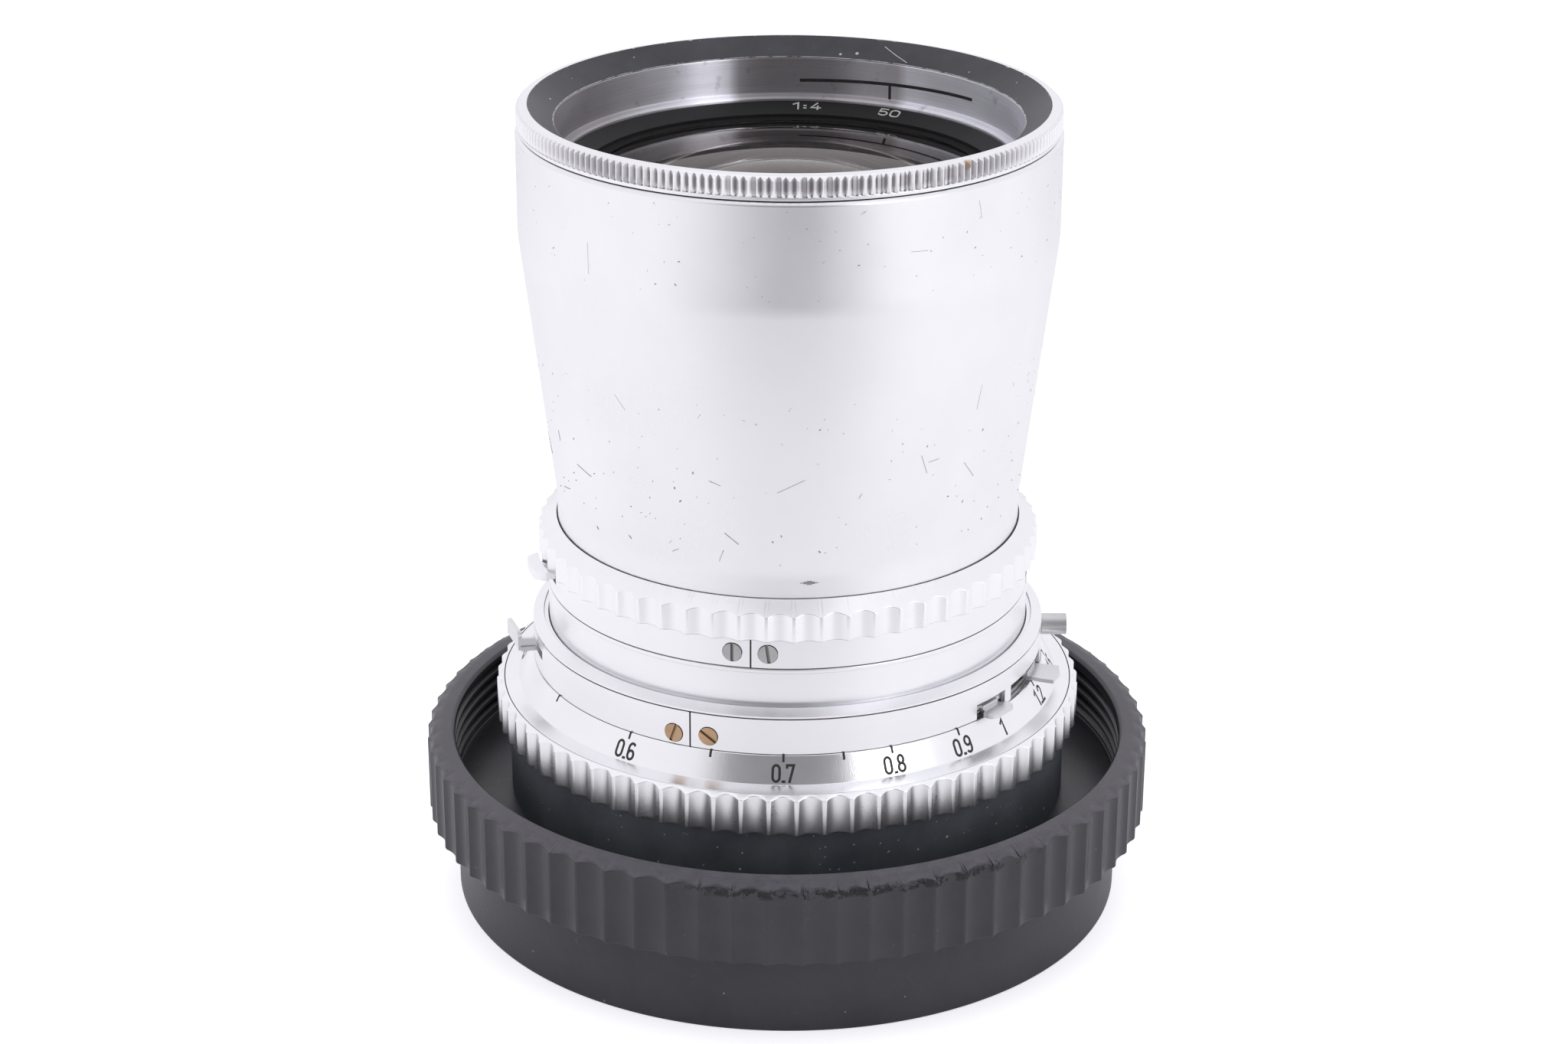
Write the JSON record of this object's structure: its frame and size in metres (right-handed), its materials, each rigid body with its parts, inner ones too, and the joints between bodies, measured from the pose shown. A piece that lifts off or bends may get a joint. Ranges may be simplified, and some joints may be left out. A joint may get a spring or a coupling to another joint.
{
  "type": "camera lens",
  "caption": "Wide-angle leaf-shutter camera lens: tapered satin chrome barrel, fluted focus and speed rings, iris and shutter blades, standing locked in its black threaded case base.",
  "frame": {"origin": "centre of the case base's underside, on the optical axis", "axes": "+Z along the optical axis towards the front glass; +X through the flash terminal; -Y towards the viewer, where the 0.7 m mark of the distance scale stands at rest"},
  "size_m": [0.1128, 0.1128, 0.1259],
  "materials": {
    "black_plastic": "moulded matte black plastic, scuffed",
    "socket_black": "matte black, slightly green",
    "steel_screw": "plain steel",
    "chromed_brass": "plain chrome",
    "satin_chrome": "satin chrome, blasted",
    "brass": "plain brass",
    "black_anodised": "black anodised",
    "brushed_steel": "turned steel, circular brush marks",
    "spring_steel": "oiled spring steel",
    "blade_steel": "blackened steel",
    "insulator": "black moulded insulator",
    "coated_glass": "polished and coated"
  },
  "bodies": {
    "case": {"case_base": "black_plastic", "bayonet_socket": "socket_black", "socket_screws": "steel_screw"},
    "lens_mount": {"mount_plate": "chromed_brass", "guide_tube": "chromed_brass", "index_ring": "satin_chrome", "depth_scale_band": "satin_chrome", "depth_band_screws": "brass", "terminal_sleeve": "steel_screw", "terminal_insulator": "insulator", "terminal_pin": "brass", "mainspring": "spring_steel"},
    "preview": {"preview_lever": "chromed_brass"},
    "sync": {"sync_lever": "chromed_brass"},
    "self_timer": {"self_timer_lever": "chromed_brass"},
    "cocking": {"cocking_shaft": "steel_screw"},
    "focus": {"focus_ring": "satin_chrome", "distance_scale_ring": "satin_chrome", "focus_cam": "brass"},
    "front_unit": {"slide_sleeve": "satin_chrome", "cam_pins": "steel_screw", "shutter_case": "black_anodised", "blade_divider": "black_anodised", "shutter_cover": "black_anodised", "front_barrel": "satin_chrome", "filter_seat": "brushed_steel", "name_ring": "black_anodised", "front_cell": "black_anodised", "front_lens": "coated_glass", "second_lens": "coated_glass", "third_lens": "coated_glass", "front_spacer": "black_anodised", "rear_cell": "black_anodised", "fourth_lens": "coated_glass", "doublet_front_lens": "coated_glass", "doublet_rear_lens": "coated_glass", "rear_lens": "coated_glass", "rear_lock_ring": "black_anodised"},
    "aperture": {"aperture_ring": "satin_chrome", "aperture_band": "satin_chrome", "aperture_band_screws": "steel_screw", "iris_cam_ring": "brass"},
    "coupling": {"coupling_tab": "chromed_brass"},
    "speed": {"speed_ring": "satin_chrome"},
    "shutter_drive": {"shutter_cam_ring": "brass"},
    "retainer": {"retaining_ring": "satin_chrome"},
    "iris_1": {"iris_blade_1": "blade_steel"},
    "shutter_1": {"shutter_blade_1": "blade_steel"},
    "iris_2": {"iris_blade_2": "blade_steel"},
    "shutter_2": {"shutter_blade_2": "blade_steel"},
    "iris_3": {"iris_blade_3": "blade_steel"},
    "shutter_3": {"shutter_blade_3": "blade_steel"},
    "iris_4": {"iris_blade_4": "blade_steel"},
    "shutter_4": {"shutter_blade_4": "blade_steel"},
    "iris_5": {"iris_blade_5": "blade_steel"},
    "shutter_5": {"shutter_blade_5": "blade_steel"}
  },
  "joints": [
    {"name": "bayonet_twist", "type": "hinge", "parent": "case", "child": "lens_mount", "pos_m": [0, 0, 0.0274], "axis": [0, 0, 1], "range_deg": [0, 60]},
    {"name": "focus_turn", "type": "hinge", "parent": "lens_mount", "child": "focus", "pos_m": [0, 0, 0.033], "axis": [0, 0, 1], "range_deg": [0, 237]},
    {"name": "front_slide", "type": "slide", "parent": "lens_mount", "child": "front_unit", "axis": [0, 0, 1], "range_m": [0, 0.00804]},
    {"name": "preview_swing", "type": "hinge", "parent": "lens_mount", "child": "preview", "pos_m": [0, 0, 0.0421], "axis": [0, 0, 1], "range_deg": [-14, 3.5]},
    {"name": "sync_select", "type": "hinge", "parent": "lens_mount", "child": "sync", "pos_m": [0, 0, 0.04], "axis": [0, 0, 1], "range_deg": [-1.3, 1.7]},
    {"name": "self_timer_swing", "type": "hinge", "parent": "lens_mount", "child": "self_timer", "pos_m": [0, 0, 0.04], "axis": [0, 0, 1], "range_deg": [-7, 3]},
    {"name": "cocking_turn", "type": "hinge", "parent": "lens_mount", "child": "cocking", "pos_m": [-0.01425, 0.02468, 0.0274], "axis": [0, 0, 1], "range_deg": [0, 320]},
    {"name": "aperture_turn", "type": "hinge", "parent": "front_unit", "child": "aperture", "pos_m": [0, 0, 0.0536], "axis": [0, 0, 1], "range_deg": [0, 60]},
    {"name": "coupling_press", "type": "slide", "parent": "aperture", "child": "coupling", "axis": [0, 0, -1], "range_m": [0, 0.0008], "stiffness_N_per_m": 400},
    {"name": "speed_turn", "type": "hinge", "parent": "front_unit", "child": "speed", "pos_m": [0, 0, 0.058], "axis": [0, 0, 1], "range_deg": [0, 108]},
    {"name": "retainer_turn", "type": "hinge", "parent": "front_unit", "child": "retainer", "pos_m": [0, 0, 0.1226], "axis": [0, 0, 1], "range_deg": [0, 720]},
    {"name": "shutter_close", "type": "hinge", "parent": "front_unit", "child": "shutter_drive", "pos_m": [0, 0, 0.0574], "axis": [0, 0, 1], "range_deg": [0, 40]},
    {"name": "iris_blade_1_swing", "type": "hinge", "parent": "front_unit", "child": "iris_1", "pos_m": [0.017, 0, 0.053], "axis": [0, 0, 1], "range_deg": [0, 24]},
    {"name": "iris_blade_2_swing", "type": "hinge", "parent": "front_unit", "child": "iris_2", "pos_m": [0.00525, 0.01617, 0.053], "axis": [0, 0, 1], "range_deg": [0, 24]},
    {"name": "iris_blade_3_swing", "type": "hinge", "parent": "front_unit", "child": "iris_3", "pos_m": [-0.01375, 0.00999, 0.053], "axis": [0, 0, 1], "range_deg": [0, 24]},
    {"name": "iris_blade_4_swing", "type": "hinge", "parent": "front_unit", "child": "iris_4", "pos_m": [-0.01375, -0.00999, 0.053], "axis": [0, 0, 1], "range_deg": [0, 24]},
    {"name": "iris_blade_5_swing", "type": "hinge", "parent": "front_unit", "child": "iris_5", "pos_m": [0.00525, -0.01617, 0.053], "axis": [0, 0, 1], "range_deg": [0, 24]},
    {"name": "shutter_blade_1_swing", "type": "hinge", "parent": "front_unit", "child": "shutter_1", "pos_m": [0.025, 0, 0.0562], "axis": [0, 0, 1], "range_deg": [0, 25]},
    {"name": "shutter_blade_2_swing", "type": "hinge", "parent": "front_unit", "child": "shutter_2", "pos_m": [0.00773, 0.02378, 0.0562], "axis": [0, 0, 1], "range_deg": [0, 25]},
    {"name": "shutter_blade_3_swing", "type": "hinge", "parent": "front_unit", "child": "shutter_3", "pos_m": [-0.02023, 0.01469, 0.0562], "axis": [0, 0, 1], "range_deg": [0, 25]},
    {"name": "shutter_blade_4_swing", "type": "hinge", "parent": "front_unit", "child": "shutter_4", "pos_m": [-0.02023, -0.01469, 0.0562], "axis": [0, 0, 1], "range_deg": [0, 25]},
    {"name": "shutter_blade_5_swing", "type": "hinge", "parent": "front_unit", "child": "shutter_5", "pos_m": [0.00773, -0.02378, 0.0562], "axis": [0, 0, 1], "range_deg": [0, 25]}
  ],
  "couplings": [
    {"joint": "front_slide", "follows": "focus_turn", "m_per_rad": 0.0019417},
    {"joint": "iris_blade_1_swing", "follows": "aperture_turn", "ratio": 0.4},
    {"joint": "iris_blade_2_swing", "follows": "aperture_turn", "ratio": 0.4},
    {"joint": "iris_blade_3_swing", "follows": "aperture_turn", "ratio": 0.4},
    {"joint": "iris_blade_4_swing", "follows": "aperture_turn", "ratio": 0.4},
    {"joint": "iris_blade_5_swing", "follows": "aperture_turn", "ratio": 0.4},
    {"joint": "shutter_blade_1_swing", "follows": "shutter_close", "ratio": 0.625},
    {"joint": "shutter_blade_2_swing", "follows": "shutter_close", "ratio": 0.625},
    {"joint": "shutter_blade_3_swing", "follows": "shutter_close", "ratio": 0.625},
    {"joint": "shutter_blade_4_swing", "follows": "shutter_close", "ratio": 0.625},
    {"joint": "shutter_blade_5_swing", "follows": "shutter_close", "ratio": 0.625}
  ]
}
